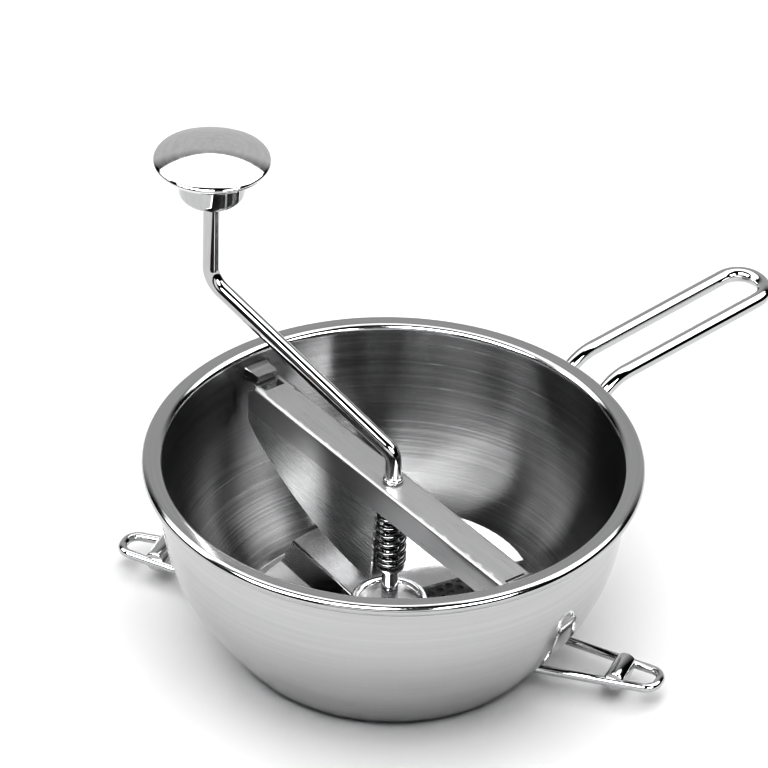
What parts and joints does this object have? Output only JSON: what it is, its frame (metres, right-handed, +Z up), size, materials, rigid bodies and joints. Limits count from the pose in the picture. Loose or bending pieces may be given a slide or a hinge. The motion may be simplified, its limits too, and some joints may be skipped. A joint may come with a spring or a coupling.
{
  "type": "food mill",
  "caption": "Hand-cranked stainless food mill: open bowl with a perforated floor, a sprung crank with a pressing blade under a hooked bridge, a loop handle and wire rests.",
  "frame": {"origin": "on the bowl axis at the base plane", "axes": "+Z up along the crank shaft, +X along the handle, away from the bowl"},
  "size_m": [0.36, 0.2542, 0.2428],
  "materials": {
    "brushed_bowl": "circumferentially brushed stainless steel, polished outside",
    "polished_rod": "mirror-polished stainless steel rod and wire",
    "satin_sheet": "satin stainless steel sheet",
    "polished_sheet": "polished pressed stainless steel",
    "turned_steel": "plain turned steel",
    "spring_wire": "drawn spring steel wire"
  },
  "bodies": {
    "bowl_body": {"bowl": "brushed_bowl", "handle_loop": "polished_rod", "rest_loop_left": "polished_rod", "rest_stop_left": "polished_rod", "rest_loop_right": "polished_rod", "rest_stop_right": "polished_rod", "sieve_disc": "satin_sheet", "sieve_bush": "turned_steel"},
    "crank_body": {"crank_rod": "polished_rod", "crank_stop_ring": "polished_rod", "rotor_blade": "polished_sheet", "rotor_collar": "turned_steel", "spring_lower_washer": "turned_steel", "spring_retaining_ring": "turned_steel", "knob_retaining_ring": "turned_steel", "pressure_spring": "spring_wire"},
    "press_body": {"spring_upper_washer": "turned_steel"},
    "bridge_body": {"bridge": "satin_sheet", "bridge_bush": "turned_steel"},
    "knob_body": {"knob_cap": "polished_sheet", "knob_skirt": "polished_sheet", "knob_bush": "turned_steel"}
  },
  "joints": [
    {"name": "crank_spin", "type": "hinge", "parent": "bowl_body", "child": "crank_body", "pos_m": [0, 0, 0], "axis": [0, 0, 1], "continuous": true},
    {"name": "knob_spin", "type": "hinge", "parent": "crank_body", "child": "knob_body", "pos_m": [-0.03201, 0.09853, 0.2131], "axis": [0, 0, 1], "continuous": true},
    {"name": "bridge_press", "type": "slide", "parent": "bowl_body", "child": "press_body", "axis": [0, 0, -1], "range_m": [0, 0.003], "stiffness_N_per_m": 1500, "springref_m": -0.01, "deforming": ["pressure_spring"]},
    {"name": "bridge_turn", "type": "hinge", "parent": "press_body", "child": "bridge_body", "pos_m": [0, 0, 0.0887], "axis": [0, 0, 1], "range_deg": [0, 30]}
  ]
}
